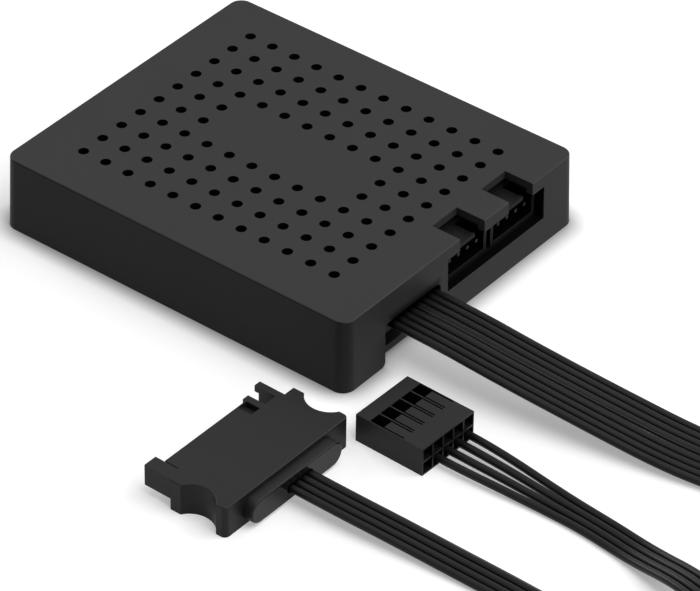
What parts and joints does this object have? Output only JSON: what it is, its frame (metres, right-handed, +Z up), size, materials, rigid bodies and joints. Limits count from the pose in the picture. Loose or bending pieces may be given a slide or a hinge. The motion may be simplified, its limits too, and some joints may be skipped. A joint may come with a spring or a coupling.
{
  "type": "fan controller hub",
  "caption": "Low square fan and light controller hub with a vented cover, sockets on two sides, and flat leads that end in a power plug and a data socket.",
  "frame": {"origin": "middle of the hub's underside, leads and plugs left out", "axes": "+X towards the side with the light sockets and the leads, +Z up"},
  "size_m": [0.2419, 0.1073, 0.0149],
  "materials": {
    "cover_plastic": "fine matte moulded black",
    "base_plastic": "matte moulded black",
    "board_laminate": "black solder mask",
    "socket_plastic": "satin black",
    "pin_metal": "tin plate",
    "screw_metal": "black oxide",
    "chip_plastic": "matte moulded",
    "ferrite": "matte",
    "can_metal": "satin",
    "crystal_metal": "satin",
    "lead_jacket": "satin black jacket",
    "plug_plastic": "matte moulded black",
    "contact_metal": "plated",
    "tie_plastic": "woven strap"
  },
  "bodies": {
    "root": {"base_plate": "base_plastic", "board_screws": "screw_metal", "chip_capacitors": "ferrite", "circuit_board": "board_laminate", "coil_tie": "tie_plastic", "controller_chip": "chip_plastic", "controller_chip_legs": "pin_metal", "cover_screws": "screw_metal", "crystal": "crystal_metal", "data_lead_hub_run": "lead_jacket", "data_lead_plug_run": "lead_jacket", "data_plug_housing": "plug_plastic", "data_plug_terminals": "contact_metal", "driver_chips": "chip_plastic", "electrolytic_capacitors": "can_metal", "fan_header_1": "socket_plastic", "fan_header_2": "socket_plastic", "fan_header_3": "socket_plastic", "fan_pins": "pin_metal", "hub_cover": "cover_plastic", "lead_clamp": "base_plastic", "lead_coil": "lead_jacket", "light_pins": "pin_metal", "light_socket_1": "socket_plastic", "light_socket_2": "socket_plastic", "power_inductors": "ferrite", "power_lead_hub_run": "lead_jacket", "power_lead_plug_run": "lead_jacket", "power_plug_contacts": "contact_metal", "power_plug_housing": "plug_plastic", "power_plug_rear_cap": "plug_plastic"}
  },
  "joints": []
}
